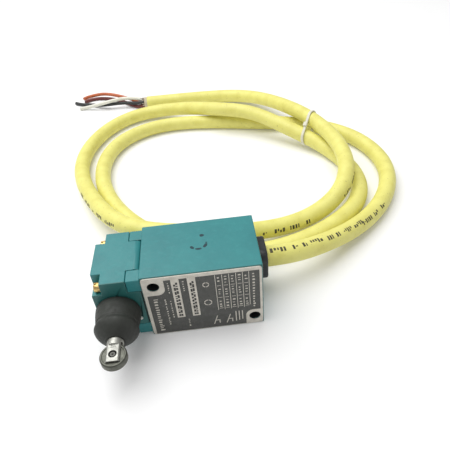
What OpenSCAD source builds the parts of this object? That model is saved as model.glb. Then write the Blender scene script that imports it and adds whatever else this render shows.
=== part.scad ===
// Compact prewired limit switch: a die-cast body with two through holes, a four-way head with a
// sealed roller plunger that works sideways, a plug-in double-break contact block and a moulded-on cord.
// X runs along the body towards the cord, the nameplate faces -Y, and the switch lies on its side on z = 0.

/* [Body] */
// Length of the body block, from its head end to its cord end
body_l = 56.4; // [55:0.1:60]
// Depth of the body, from the nameplate face to the back
body_d = 36.3; // [36:0.1:38]
// Height of the body as it lies
body_h = 40.8; // [40.4:0.1:43]
// Diameter of the two mounting holes through the body
mount_hole_d = 5.5; // [4.8:0.1:5.6]
// Distance of the head-end mounting hole from the head end
mount_a_x = 5.6; // [5.4:0.1:6]
// Height of the head-end mounting hole
mount_a_z = 34.5; // [34.3:0.1:35]
// Distance of the cord-end mounting hole from the head end
mount_b_x = 51.8; // [51:0.1:52]
// Height of the cord-end mounting hole
mount_b_z = 6; // [5.5:0.1:6.5]
// Thickness of the nameplate
plate_t = 0.5; // [0.3:0.1:0.8]

/* [Head] */
// Length of the head, from its outer end to the body
head_l = 23.1; // [22.8:0.1:24]
// Depth of the head
head_d = 35.2; // [34.8:0.1:35.6]
// Height of the head
head_h = 37.8; // [37:0.1:38.4]
// Length of the four corner posts of the body that the head sits between
post_l = 6.5; // [6:0.1:7]
// Side of a corner post
post_w = 7.2; // [7:0.1:7.4]
// Spacing of the four head screws, the same both ways, so that the head can be turned
screw_pitch = 28.8; // [28.6:0.1:29]
// Distance of the plunger's axis from the body
plunger_x = 13.1; // [13:0.1:13.2]

/* [Plunger] */
// Diameter of the plunger shaft
shaft_d = 7.6; // [7.4:0.1:7.7]
// Travel of the plunger
travel = 5.5; // [4:0.5:5.5]
// Diameter of the roller
roller_d = 12; // [11:0.5:12.5]
// Width of the roller
roller_w = 3.8; // [3:0.1:3.8]
// Distance of the roller's axis from the nameplate face
roller_y = 25.3; // [25:0.1:25.6]
// Sideways travel of the transfer pin for each millimetre of plunger travel
cam_slope = 0.4; // [0.3:0.05:0.4]

/* [Cord] */
// Diameter of the cord's jacket
cord_d = 11; // [10:0.1:11]
// Distance of the cord entry's axis from the nameplate face
entry_y = 25.5; // [25.3:0.1:25.7]
// Diameter of one insulated conductor
wire_d = 3.1; // [2.4:0.1:3.1]

/* [Hidden] */
$fn = 64;

teal = "#4f9ba3";
steel = "#b9bcb4";
brass = "#c9a65a";
rubber = "#2f322f";
black_plastic = "#26282a";
phenolic = "#5a3a28";
copper = "#c07a4a";
cord_yellow = "#f2ee78";

fit = 0.05;          // running clearance on a radius
gap = 0.1;           // clearance between parts that only lie against each other
through = 1;         // overlength of a cutting tool

mid_y = body_d / 2;
mid_z = body_h / 2;
roller_r = roller_d / 2;
shaft_r = shaft_d / 2;
cord_r = cord_d / 2;
wire_r = wire_d / 2;
head_y0 = mid_y - head_d / 2;
head_y1 = mid_y + head_d / 2;
head_z0 = mid_z - head_h / 2;
head_z1 = mid_z + head_h / 2;

// Head: screw pockets, neck and bores
pocket_l = 4.6;
screw_r = 1.5;
screw_head_r = 2.3;
screw_head_h = 3.1;
screw_slot_w = 0.8;
screw_slot_h = 1.2;
screw_tip_x = 1.5;
pocket_w = (head_h - screw_pitch) / 2 + screw_head_r + gap;
joint_gap = 0.15;
tongue_x = -0.6;
tongue_round = 4;
tongue_fall = 2.6;
neck_r = 8.6;
neck_y = -6;
groove_y = [-3.4, -1.6];
groove_r = 7.8;
bore_r = 6;
bore_y = 33.3;
lock_r = 0.8;
lock_x = -3.7;
lock_z = 13.4;
lock_y = 24;
lock_out = 0.6;

// Plunger, cam and return spring
fork_y = -29;
flat_y = -20.7;
flat_z = 2.9;
slot_y = -18.8;
slot_w = roller_w + 0.3;
pin_sink = 0.3;
pin_bevel = 0.4;
pin_r = 1.4;
bushing_end = 6.6;
bushing_bore_r = shaft_r + fit;
tenon_r = 2;
tenon_end = 12.5;
collar_r = 5.2;
collar_end = 9.2;
cam_end = 22;
cam_boss_r = 2.4;
cam_boss_end = 24.5;
cam_flat_y = 9;
seal_groove = [-3.7, -1.9];
seal_groove_r = 5.3;
seal_r = 0.7;
return_coil_r = 3.9;
return_wire_r = 0.4;
return_turns = 5;

// Transfer pin, which rides on the cam's slope
tip_r = 1.5;
tip_play = 0.03;
pin_end_x = 0.6;
slope_angle = atan(cam_slope);
slope_x = -plunger_x + shaft_r - cam_slope * (mid_y - cam_flat_y);
tip_x = slope_x + (tip_r + tip_play) / cos(slope_angle);
guide_r = 6.6;
guide_x = [-6, -1.2];
guide_groove = [-4.7, -3.3];
guide_groove_r = 2.75;
guide_seal_r = 0.58;
gasket_inset = 1.2;
gasket_side = 0.3;
gasket_bore_r = 3;

// Body: nameplate, cavity, cord entry and contact block
plate_margin = 0.5;
plate_corner = 1.5;
cavity_x = 46;
cavity_y = [3.4, 32.9];
cavity_z = [11.2, 29.6];
entry_r = 8;
case_x = [1.5, 32];
case_y = [4, 32.3];
case_z = [11.8, 29];
case_t = 1.6;
stem_hole_r = 1.9;
carriage_x = [8, 20];
carriage_y = [mid_y - 5.5, mid_y + 5.5];
carriage_z = [16.4, 24.4];
bridge_x = [13.6, 14.4];
bridge_y = [mid_y - 11, mid_y + 11];
bridge_z = [18.4, 22.4];
rivet_r = 1.2;
rivet_y = mid_y - 9.5;
rivet_x = [13, 15];
carriage_travel = travel * cam_slope;
strip_t = 0.8;
strip_y = [5.8, 10.8];
tab_x = [34.2, 38];
tab_hole_x = 36.1;
tab_screw_r = 1;
tab_head_r = 1.6;
tab_head_h = 1.2;
tab_screw_out = 1;
lead_in = 0.6;
nc_x = 11;
nc_foot_z = 17.4;
nc_run_z = [24.2, 26];
no_x = 18.4;
no_top_z = 23.4;
no_run_z = [15, 16.8];
tab_h = 4;
contact_coil_r = 2.2;
contact_wire_r = 0.3;
contact_turns = 7.5;

// Cord entry
gland_x = 61.6;
gland_w = 18.4;
gland_corner = 5;
gland_neck_x = 47;
gland_neck_r = entry_r - fit;
grommet_x = [48, 57];
grommet_r = 7;
cord_hole_r = cord_r + gap;

// The row frame's origin: the middle of the switch, without its cord, on the surface it lies on
origin_x = (gland_x - head_l) / 2;
origin_y = (body_d - roller_y - roller_r) / 2;

// Route of the cord's centreline, from inside the gland to the cut end, as it lies on the surface
floor_z = cord_r;
cord_route = [
    [48, entry_y, mid_z], [66, entry_y, mid_z], [85, 31, 16], [123, 55, floor_z], [151, 82, floor_z],
    [166, 121, floor_z], [155, 166, floor_z], [120, 193, floor_z], [78, 203, floor_z], [41, 214, floor_z],
    [-1, 218, floor_z], [-35, 196, floor_z], [-45, 154, floor_z], [-33, 110, floor_z], [-9, 76, floor_z],
    [21, 53, floor_z], [58, 41, floor_z], [97, 52, floor_z], [131, 76, floor_z], [142, 111, floor_z],
    [129, 153, floor_z], [98, 176, 15], [78, 200, 18], [46, 207, 20], [16, 244, 7],
    [-29, 242, floor_z], [-57, 201, floor_z], [-61, 156, floor_z], [-44, 110, 11], [-19, 65, 17],
    [22, 51, 20], [61, 58, 9], [95, 67, floor_z], [123, 84, 13], [134, 117, 18],
    [129, 156, 19], [113, 192, 20], [86, 258, 6], [42, 264, floor_z], [14, 264.8, floor_z],
    [-12, 265.2, floor_z]
];
cord_rings = 2;      // rings for each stretch between route points
cord_sides = 10;
wire_sides = 8;
wire_rings = 3;
lead_rings = 4;
coil_sides = 12;     // straight pieces in one turn of a spring
coil_wire_sides = 6;

// Where the tie grips the two crossing strands: places along the route, in route points
tie_upper = 35.42;
tie_lower = 20.42;
tie_w = 2.4;
tie_t = 1.1;
tie_steps = 32;
tie_play = 0.3;
tie_reach = 0.1;     // route points on either side from which a strand's direction is taken

// Conductors from the jacket's cut end, as they lie
cut_x = -12.1;
cut_y = 265.2;
core = 1.6;
orange_route = [
    [cut_x, cut_y + core, floor_z - core],
    [-16, 267.2, 3.8], [-21.5, 272.2, 4.3], [-29.6, 279, 5.2], [-37.1, 283.9, 5.6], [-46.1, 290.2, 6.1],
    [-56.3, 295.4, 6], [-63.1, 296.9, 5.2], [-70.1, 299.2, 3.4], [-75.7, 300.8, 1.8], [-78.2, 298.2, 1.6]
];
white_route = [
    [cut_x, cut_y + core, floor_z + core],
    [-16, 267.2, 7.2], [-21.2, 269.6, 8.8], [-28.5, 271.5, 8.9], [-35.6, 273, 8.8], [-43.8, 271.9, 8.4],
    [-53, 270.7, 7.2], [-59.6, 271.7, 5.8], [-66.7, 274.4, 3.4], [-73.5, 276.1, 1.8], [-78.6, 276, 1.6]
];
black_route = [
    [cut_x, cut_y - core, floor_z + core],
    [-16, 263.8, 7], [-21.5, 266.2, 5.4], [-29.1, 269.8, 5], [-35.9, 271.5, 4.9], [-44.7, 272.3, 4.6],
    [-54.3, 274.2, 3.4], [-61.2, 278, 2.4], [-68.1, 281.9, 1.8], [-74.6, 283.9, 1.6], [-79.3, 286, 1.6],
    [-84.6, 289.6, 1.6]
];
red_route = [
    [cut_x, cut_y - core, floor_z - core],
    [-16, 263.8, 3.6], [-22, 266.2, 1.6], [-27.5, 271.6, 1.6], [-32.8, 277.6, 1.6], [-39.6, 284.7, 1.6],
    [-47.1, 290.5, 1.6], [-57.2, 294.7, 1.6], [-63.8, 295.8, 1.6], [-70, 294.9, 1.6], [-73.4, 292.4, 1.6],
    [-75.1, 289.6, 1.6]
];

// Vector helpers and the smooth curve through a route's neighbourhood
function unit(v) = v / norm(v);
function ends(p) = concat([2 * p[0] - p[1]], p, [2 * p[len(p) - 1] - p[len(p) - 2]]);
function basis(t) =
    let (t2 = t * t, t3 = t2 * t)
    [pow(1 - t, 3), 3 * t3 - 6 * t2 + 4, -3 * t3 + 3 * t2 + 3 * t + 1, t3] / 6;
function spline_at(q, u) =
    let (i = min(floor(u), len(q) - 4), b = basis(u - i))
    b[0] * q[i] + b[1] * q[i + 1] + b[2] * q[i + 2] + b[3] * q[i + 3];
function spline(p, steps) =
    let (q = ends(p))
    [for (k = [0 : steps * (len(p) - 1)]) spline_at(q, k / steps)];
function along(c, i) = unit(c[min(i + 1, len(c) - 1)] - c[max(i - 1, 0)]);
function level(t) = unit(cross(t, abs(t[2]) > 0.9 ? [1, 0, 0] : [0, 0, 1]));
function ring(c, i, r, sides) =
    let (t = along(c, i), u = level(t), v = cross(u, t))
    [for (k = [0 : sides - 1]) c[i] + r * (cos(360 * k / sides) * u + sin(360 * k / sides) * v)];

// A closed tube of radius r along the points c
module tube(c, r, sides) {
    n = len(c);
    points = [for (i = [0 : n - 1]) each ring(c, i, r, sides)];
    walls = [for (i = [0 : n - 2], k = [0 : sides - 1])
        let (a = i * sides + k, b = i * sides + (k + 1) % sides) [a, b, b + sides, a + sides]];
    near = [for (k = [sides - 1 : -1 : 0]) k];
    far = [for (k = [0 : sides - 1]) (n - 1) * sides + k];
    polyhedron(points, concat(walls, [near, far]));
}

// A helix about the Z axis, from z = 0 up
function helix(r, h, turns) =
    let (steps = coil_sides * turns, turn = 360 / coil_sides)
    [for (k = [0 : steps]) [r * cos(turn * k), r * sin(turn * k), h * k / steps]];

module coil_spring(r, wire, h, turns) {
    translate([0, 0, wire]) tube(helix(r, h - 2 * wire, turns), wire, coil_wire_sides);
}

module span(x, y, z) {
    translate([x[0], y[0], z[0]]) cube([x[1] - x[0], y[1] - y[0], z[1] - z[0]]);
}

module rod_x(x, y, z, r) {
    translate([x[0], y, z]) rotate([0, 90, 0]) cylinder(r = r, h = x[1] - x[0]);
}

module rod_y(x, y, z, r) {
    translate([x, y[0], z]) rotate([-90, 0, 0]) cylinder(r = r, h = y[1] - y[0]);
}

module on_plunger_axis(y) {
    translate([-plunger_x, y, mid_z]) rotate([-90, 0, 0]) children();
}

module seal_ring(major, minor) {
    rotate_extrude() translate([major, 0]) circle(r = minor);
}

// Both mirror images of a part about the plane y = mid_y
module both_sides() {
    children();
    translate([0, 2 * mid_y, 0]) mirror([0, 1, 0]) children();
}

// One child at each of the four head screw axes
module at_head_screws() {
    offset = screw_pitch / 2;
    for (y = [mid_y - offset, mid_y + offset], z = [mid_z - offset, mid_z + offset])
        translate([0, y, z]) rotate([0, 90, 0]) children();
}

// A bar at each corner of the head's outline, w square, from x[0] to x[1]
module corner_bars(x, w, over) {
    for (y = [[head_y0 - over, head_y0 + w], [head_y1 - w, head_y1 + over]])
        for (z = [[head_z0 - over, head_z0 + w], [head_z1 - w, head_z1 + over]])
            span(x, y, z);
}

// Cuts the tongue's upper side so that it curves down towards the body
module tongue_fall_cut() {
    translate([tongue_x - tongue_fall, 0, head_z1 - tongue_round]) rotate([-90, 0, 0]) difference() {
        translate([0, -tongue_round - through, 0]) cube([tongue_fall + through, tongue_round, body_d]);
        translate([0, 0, -through]) cylinder(r = tongue_round, h = body_d + 2 * through);
    }
}

// A square plate with round corners, centred on the Z axis
module rounded_plate(w, h, corner, thick) {
    linear_extrude(thick) {
        square([w - 2 * corner, h], center = true);
        square([w, h - 2 * corner], center = true);
        for (sx = [-1, 1], sy = [-1, 1])
            translate([sx * (w / 2 - corner), sy * (h / 2 - corner)]) circle(r = corner);
    }
}

module mount_holes(y, r) {
    rod_y(mount_a_x, y, mount_a_z, r);
    rod_y(mount_b_x, y, mount_b_z, r);
}

module body_housing() {
    color(teal) difference() {
        union() {
            span([0, body_l], [0, body_d], [0, body_h]);
            corner_bars([-post_l, through], post_w, 0);
        }
        span([-through, cavity_x], cavity_y, cavity_z);
        rod_x([cavity_x - through, body_l + through], entry_y, mid_z, entry_r);
        mount_holes([-through, body_d + through], mount_hole_d / 2);
        at_head_screws() translate([0, 0, -post_l - through])
            cylinder(r = screw_r, h = post_l + through + screw_tip_x + gap);
    }
}

module nameplate() {
    color(steel) difference() {
        translate([body_l / 2, 0, mid_z]) rotate([90, 0, 0])
            rounded_plate(body_l - 2 * plate_margin, body_h - 2 * plate_margin, plate_corner, plate_t);
        mount_holes([-plate_t - through, through], mount_hole_d / 2 + gap);
    }
}

module head_housing() {
    color(teal) difference() {
        union() {
            span([-head_l, tongue_x], [head_y0, head_y1], [head_z0, head_z1]);
            on_plunger_axis(neck_y) cylinder(r = neck_r, h = head_y0 - neck_y + through);
        }
        corner_bars([-post_l - joint_gap, through], post_w + joint_gap, through);
        corner_bars([-head_l - through, -head_l + pocket_l], pocket_w, through);
        on_plunger_axis(neck_y - through) cylinder(r = bore_r, h = bore_y - neck_y + through);
        on_plunger_axis(groove_y[0]) difference() {
            cylinder(r = neck_r + through, h = groove_y[1] - groove_y[0]);
            translate([0, 0, -through]) cylinder(r = groove_r, h = groove_y[1] - groove_y[0] + 2 * through);
        }
        rod_x([guide_x[0], through], mid_y, mid_z, guide_r);
        rod_x([-plunger_x, guide_x[0] + through], mid_y, mid_z, gasket_bore_r - through);
        rod_y(lock_x, [head_y0 - through, lock_y], lock_z, lock_r);
        at_head_screws() translate([0, 0, -head_l]) cylinder(r = screw_r + gap, h = head_l);
        tongue_fall_cut();
        translate([0, 0, 2 * mid_z]) mirror([0, 0, 1]) tongue_fall_cut();
    }
}

module head_gasket() {
    color(rubber) difference() {
        span([tongue_x, 0], [head_y0 + gasket_side, head_y1 - gasket_side],
            [head_z0 + gasket_inset, head_z1 - gasket_inset]);
        corner_bars([tongue_x - through, through], post_w + joint_gap, through);
        rod_x([tongue_x - through, through], mid_y, mid_z, gasket_bore_r);
    }
}

module head_screws() {
    shank_l = head_l - pocket_l + screw_tip_x;
    color(brass) at_head_screws() translate([0, 0, -head_l + pocket_l]) {
        cylinder(r = screw_r - gap / 5, h = shank_l);
        translate([0, 0, -screw_head_h]) difference() {
            cylinder(r = screw_head_r, h = screw_head_h);
            translate([-screw_head_r, -screw_slot_w / 2, -through])
                cube([2 * screw_head_r, screw_slot_w, through + screw_slot_h]);
        }
    }
}

module lock_pin() {
    color(steel) rod_y(lock_x, [head_y0 - lock_out, lock_y], lock_z, lock_r);
}

// Rubber boot: a wide barrel that ends in a lip, then one convolution that closes on the shaft
module boot() {
    outside = [[10.5, 0.4], [10.7, -0.9], [10.5, -3.5], [10.1, -7], [9.9, -8.4], [9.7, -9.1],
        [10.3, -10.8], [9.95, -12.3], [8.9, -13.9], [7.6, -15.2], [6.2, -16.3], [4.9, -17.2], [4.3, -17.5]];
    lip_r = shaft_r + fit;
    inside = [[lip_r, -17.5], [lip_r, -15.9], [5.8, -14.8], [7.4, -13.4], [8.4, -12], [8.7, -10.8],
        [8.4, -9.2], [neck_r + fit, -8], [neck_r + fit, groove_y[0] + gap],
        [groove_r + gap, groove_y[0] + gap], [groove_r + gap, groove_y[1] - gap],
        [neck_r + fit, groove_y[1] - gap], [neck_r + fit, 0.4]];
    color(rubber) on_plunger_axis(0) rotate_extrude() polygon(concat(outside, inside));
}

module plunger_bushing() {
    color(brass) difference() {
        on_plunger_axis(neck_y) cylinder(r = bore_r, h = bushing_end - neck_y);
        on_plunger_axis(neck_y - through)
            cylinder(r = bushing_bore_r, h = bushing_end - neck_y + 2 * through);
        on_plunger_axis(seal_groove[0]) cylinder(r = seal_groove_r, h = seal_groove[1] - seal_groove[0]);
    }
}

module shaft_seal() {
    color(rubber) on_plunger_axis((seal_groove[0] + seal_groove[1]) / 2)
        seal_ring(bushing_bore_r + seal_r, seal_r);
}

// A block across the shaft, h high, that reaches from the origin back along the shaft
module plunger_cut(length, h) {
    translate([-shaft_r - through, 0, -h / 2]) cube([2 * (shaft_r + through), length, h]);
}

// Shaft that ends in a slotted fork with two flats
module plunger() {
    color(steel) difference() {
        union() {
            on_plunger_axis(fork_y) cylinder(r = shaft_r, h = bushing_end + gap - fork_y);
            on_plunger_axis(bushing_end) cylinder(r = tenon_r, h = tenon_end - bushing_end);
        }
        for (side = [-1, 1])
            translate([-plunger_x, fork_y - through, mid_z + side * (flat_z + shaft_r / 2)])
                plunger_cut(flat_y - fork_y + through, shaft_r);
        translate([-plunger_x, fork_y - through, mid_z]) plunger_cut(slot_y - fork_y + through, slot_w);
        translate([-plunger_x, -roller_y, mid_z]) {
            translate([0, 0, -shaft_r]) cylinder(r = pin_r, h = 2 * shaft_r);
            for (side = [0, 1]) mirror([0, 0, side]) translate([0, 0, flat_z - pin_bevel])
                cylinder(r1 = pin_r, r2 = pin_r + 2 * pin_bevel, h = 2 * pin_bevel);
        }
    }
}

// Collar that stops the plunger, and the slope that pushes the transfer pin
module cam() {
    start = bushing_end + gap;
    reach = cam_end - cam_flat_y;
    color(steel) difference() {
        union() {
            on_plunger_axis(start) cylinder(r = collar_r, h = collar_end - start);
            on_plunger_axis(start) cylinder(r = shaft_r, h = cam_end - start);
            on_plunger_axis(cam_end - through)
                cylinder(r = cam_boss_r, h = cam_boss_end - cam_end + through);
        }
        on_plunger_axis(start - through)
            cylinder(r = tenon_r + fit / 2, h = tenon_end + gap - start + through);
        translate([-plunger_x + shaft_r, cam_flat_y, mid_z - shaft_r - through])
            linear_extrude(2 * (shaft_r + through))
                polygon([[0, 0], [shaft_r, 0], [shaft_r, 2 * reach], [-cam_slope * 2 * reach, 2 * reach]]);
    }
}

module roller() {
    rim = 0.5;
    rim_band = 1.2;
    face_r = roller_r - rim_band;
    dish = 0.25;
    h = roller_w / 2;
    profile = [[pin_r + fit, -h + dish], [face_r, -h + dish], [face_r + dish, -h], [roller_r - rim, -h],
        [roller_r, -h + rim], [roller_r, h - rim], [roller_r - rim, h], [face_r + dish, h],
        [face_r, h - dish], [pin_r + fit, h - dish]];
    color(steel) translate([-plunger_x, -roller_y, mid_z]) rotate_extrude($fn = 96) polygon(profile);
}

module roller_pin() {
    half = flat_z - pin_sink;
    color(steel) translate([-plunger_x, -roller_y, mid_z - half])
        cylinder(r = pin_r, h = 2 * half);
}

module return_spring() {
    color(steel) on_plunger_axis(cam_end + gap)
        coil_spring(return_coil_r, return_wire_r, bore_y - cam_end - 2 * gap, return_turns);
}

module transfer_pin() {
    color(steel) union() {
        translate([tip_x, mid_y, mid_z]) sphere(r = tip_r);
        rod_x([tip_x, pin_end_x], mid_y, mid_z, tip_r);
    }
}

module pin_guide() {
    color(brass) difference() {
        rod_x(guide_x, mid_y, mid_z, guide_r - gap / 5);
        rod_x([guide_x[0] - through, guide_x[1] + through], mid_y, mid_z, tip_r + fit);
        rod_x(guide_groove, mid_y, mid_z, guide_groove_r);
        rod_y(lock_x, [0, body_d], lock_z, lock_r + gap / 5);
    }
}

module pin_seal() {
    color(rubber) translate([(guide_groove[0] + guide_groove[1]) / 2, mid_y, mid_z]) rotate([0, 90, 0])
        seal_ring(tip_r + fit + guide_seal_r, guide_seal_r);
}

module switch_case() {
    color(phenolic) difference() {
        span(case_x, case_y, [case_z[0], case_z[1] - case_t]);
        span([case_x[0] + case_t, case_x[1] - case_t], [case_y[0] + case_t, case_y[1] - case_t],
            [case_z[0] + case_t, case_z[1]]);
        rod_x([case_x[0] - through, case_x[0] + case_t + through], mid_y, mid_z, stem_hole_r);
        both_sides() for (z = [nc_run_z, no_run_z])
            span([case_x[1] - case_t - through, case_x[1] + through],
                [strip_y[0] - fit, strip_y[0] + strip_t + fit], [z[0] - fit, z[1] + fit]);
    }
}

module switch_cover() {
    color(phenolic) span(case_x, case_y, [case_z[1] - case_t, case_z[1]]);
}

module contact_carriage() {
    color(black_plastic) difference() {
        union() {
            rod_x([pin_end_x + fit, carriage_x[0] + through], mid_y, mid_z, tip_r);
            span(carriage_x, carriage_y, carriage_z);
        }
        span([bridge_x[0] - fit, bridge_x[1] + fit], [carriage_y[0] - through, carriage_y[1] + through],
            [bridge_z[0] - fit, bridge_z[1] + fit]);
    }
}

module moving_bridge() {
    color(copper) union() {
        span(bridge_x, bridge_y, bridge_z);
        both_sides() rod_x(rivet_x, rivet_y, mid_z, rivet_r);
    }
}

module contact_spring() {
    start = carriage_x[1] + gap;
    color(steel) translate([start, mid_y, mid_z]) rotate([0, 90, 0])
        coil_spring(contact_coil_r, contact_wire_r, case_x[1] - case_t - gap - start, contact_turns);
}

// A contact strip: an upright plate with a rivet, a runner along the case wall and a terminal tab
module contact_strip(x, upright_z, run_z, rivet) {
    tab_z = (run_z[0] + run_z[1]) / 2;
    difference() {
        union() {
            span([x, x + strip_t], strip_y, upright_z);
            span([x, tab_x[1]], [strip_y[0], strip_y[0] + strip_t], run_z);
            span(tab_x, [strip_y[0], strip_y[0] + strip_t], [tab_z - tab_h / 2, tab_z + tab_h / 2]);
            rod_x(rivet, rivet_y, mid_z, rivet_r);
        }
        rod_y(tab_hole_x, [strip_y[0] - through, strip_y[0] + strip_t + through], tab_z, tab_screw_r);
    }
}

module nc_contacts() {
    color(copper) both_sides()
        contact_strip(nc_x, [nc_foot_z, nc_run_z[1]], nc_run_z, [nc_x, rivet_x[0] - fit]);
}

module no_contacts() {
    face_x = rivet_x[1] + carriage_travel + fit;
    color(copper) both_sides()
        contact_strip(no_x, [no_run_z[0], no_top_z], no_run_z, [face_x, no_x + strip_t]);
}

module terminal_screws() {
    color(brass) both_sides() for (z = [nc_run_z, no_run_z]) {
        tab_z = (z[0] + z[1]) / 2;
        face_y = strip_y[0] + strip_t;
        rod_y(tab_hole_x, [strip_y[0] - tab_screw_out, face_y], tab_z, tab_screw_r - gap / 5);
        rod_y(tab_hole_x, [face_y, face_y + tab_head_h], tab_z, tab_head_r);
    }
}

// A lead from the cord's end inside the body to one terminal tab; side and level say which
module lead(side, up) {
    run_z = up > 0 ? nc_run_z : no_run_z;
    z = (run_z[0] + run_z[1]) / 2;
    tab_y = mid_y + side * (mid_y - strip_y[0] - strip_t / 2);
    straight = [2.5, 0, 0];
    start = [grommet_x[0] - gap, entry_y + side * core, mid_z + up * core];
    end = [tab_x[1] + gap, tab_y - side * lead_in, z];
    middle = (start + end) / 2 - [1, 0, 0];
    tube(spline([start, start - straight, middle, end + straight, end], lead_rings), wire_r, wire_sides);
}

module lead_black() {
    color("#222222") lead(-1, 1);
}

module lead_white() {
    color("#e8e6d8") lead(1, 1);
}

module lead_orange() {
    color("#c8622c") lead(1, -1);
}

module lead_red() {
    color("#7a2a22") lead(-1, -1);
}

module gland() {
    color(black_plastic) difference() {
        union() {
            rod_x([gland_neck_x, body_l + through], entry_y, mid_z, gland_neck_r);
            translate([body_l, entry_y, mid_z]) rotate([90, 0, 90])
                rounded_plate(gland_w, gland_w, gland_corner, gland_x - body_l);
        }
        rod_x([gland_neck_x - through, grommet_x[1]], entry_y, mid_z, grommet_r);
        rod_x([gland_neck_x, gland_x + through], entry_y, mid_z, cord_hole_r);
    }
}

module cord_grommet() {
    color(rubber) difference() {
        rod_x(grommet_x, entry_y, mid_z, grommet_r - gap / 5);
        rod_x([grommet_x[0] - through, grommet_x[1] + through], entry_y, mid_z, cord_hole_r);
    }
}

module cord_jacket() {
    color(cord_yellow) tube(spline(cord_route, cord_rings), cord_r, cord_sides);
}

// Paper filler that stands out of the jacket's cut end, round the conductors
module cord_filler() {
    out = 2.6;
    wall = 0.8;
    inner = core * sqrt(2) + wire_r + wall / 2;
    color("#d8cfb8") translate([cut_x - out, cut_y, floor_z]) rotate([0, 90, 0]) difference() {
        cylinder(r = inner + wall, h = out);
        translate([0, 0, -through]) cylinder(r = inner, h = out + 2 * through);
    }
}

// A flat band round the two strands that cross near the far side of the loop
module cable_tie() {
    q = ends(cord_route);
    upper = spline_at(q, tie_upper);
    lower = spline_at(q, tie_lower);
    u = unit(upper - lower);
    run = unit(spline_at(q, tie_upper + tie_reach) - spline_at(q, tie_upper - tie_reach)
        + spline_at(q, tie_lower + tie_reach) - spline_at(q, tie_lower - tie_reach));
    axis = unit(run - (run * u) * u);
    v = cross(axis, u);
    inner = cord_r + tie_play;
    side = function (angle, r, s)
        (cos(angle) >= 0 ? upper : lower) + r * (cos(angle) * u + sin(angle) * v) + s * axis;
    points = [for (k = [0 : tie_steps - 1]) let (a = 360 * (k + 0.5) / tie_steps)
        each [side(a, inner, -tie_w / 2), side(a, inner + tie_t, -tie_w / 2),
            side(a, inner + tie_t, tie_w / 2), side(a, inner, tie_w / 2)]];
    total = 4 * tie_steps;
    faces = [for (k = [0 : tie_steps - 1], m = [0 : 3])
        [4 * k + m, 4 * k + (m + 1) % 4, (4 * k + 4 + (m + 1) % 4) % total, (4 * k + 4 + m) % total]];
    color("#efece0") polyhedron(points, faces);
}

module wire_black() {
    color("#222222") tube(spline(black_route, wire_rings), wire_r, wire_sides);
}

module wire_white() {
    color("#e8e6d8") tube(spline(white_route, wire_rings), wire_r, wire_sides);
}

module wire_orange() {
    color("#c8622c") tube(spline(orange_route, wire_rings), wire_r, wire_sides);
}

module wire_red() {
    color("#7a2a22") tube(spline(red_route, wire_rings), wire_r, wire_sides);
}

// Moves a part from the body's frame to the row frame
module placed() {
    translate([-origin_x, -origin_y, 0]) children();
}

placed() body_housing();
placed() nameplate();
placed() head_housing();
placed() head_gasket();
placed() head_screws();
placed() lock_pin();
placed() boot();
placed() plunger_bushing();
placed() shaft_seal();
placed() plunger();
placed() cam();
placed() roller();
placed() roller_pin();
placed() return_spring();
placed() transfer_pin();
placed() pin_guide();
placed() pin_seal();
placed() switch_case();
placed() switch_cover();
placed() contact_carriage();
placed() moving_bridge();
placed() contact_spring();
placed() nc_contacts();
placed() no_contacts();
placed() terminal_screws();
placed() lead_black();
placed() lead_white();
placed() lead_orange();
placed() lead_red();
placed() gland();
placed() cord_grommet();
placed() cord_jacket();
placed() cord_filler();
placed() cable_tie();
placed() wire_black();
placed() wire_white();
placed() wire_orange();
placed() wire_red();
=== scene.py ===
"""Looks of the prewired roller-plunger limit switch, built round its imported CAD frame."""

import math
import random

import bmesh
import bpy
from mathutils import Matrix, Vector


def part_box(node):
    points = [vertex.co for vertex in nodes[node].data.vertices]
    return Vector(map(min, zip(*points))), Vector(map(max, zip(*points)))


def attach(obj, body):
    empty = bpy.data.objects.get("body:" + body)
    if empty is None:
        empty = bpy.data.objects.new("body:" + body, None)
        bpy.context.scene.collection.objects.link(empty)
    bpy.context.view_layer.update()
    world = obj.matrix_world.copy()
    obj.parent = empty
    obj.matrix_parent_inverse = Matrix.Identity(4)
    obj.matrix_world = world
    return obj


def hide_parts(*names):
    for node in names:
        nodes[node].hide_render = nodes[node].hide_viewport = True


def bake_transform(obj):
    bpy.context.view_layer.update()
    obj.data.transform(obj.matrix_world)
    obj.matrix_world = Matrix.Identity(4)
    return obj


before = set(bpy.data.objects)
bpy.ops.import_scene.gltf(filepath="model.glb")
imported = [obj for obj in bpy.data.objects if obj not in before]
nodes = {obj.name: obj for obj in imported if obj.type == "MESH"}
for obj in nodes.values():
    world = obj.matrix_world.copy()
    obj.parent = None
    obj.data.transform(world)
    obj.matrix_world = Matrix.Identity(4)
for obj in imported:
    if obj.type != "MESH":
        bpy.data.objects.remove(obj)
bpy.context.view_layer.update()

MM = 0.001
# The body block's own frame: x from its head end, y from the nameplate face, z from the table, in millimetres
BODY_L, BODY_D, BODY_H = 56.4, 36.3, 40.8
SHIFT = Vector(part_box("body_housing")[1]) - Vector((BODY_L, BODY_D, BODY_H)) * MM


def at(x, y, z):
    """A point given in the body's own frame in millimetres, in the row frame in metres."""
    return Vector((x, y, z)) * MM + SHIFT


# ---------------------------------------------------------------- camera
CAMERA_ANGLES = (-2.02, 39.98, -5.27)  # azimuth, elevation and roll in degrees
CAMERA_AIM = at(43.8, 79.1, 0)
CAMERA_DISTANCE = 289.6 * MM
CAMERA_LENS, CAMERA_SENSOR = 36.02, 36


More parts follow.
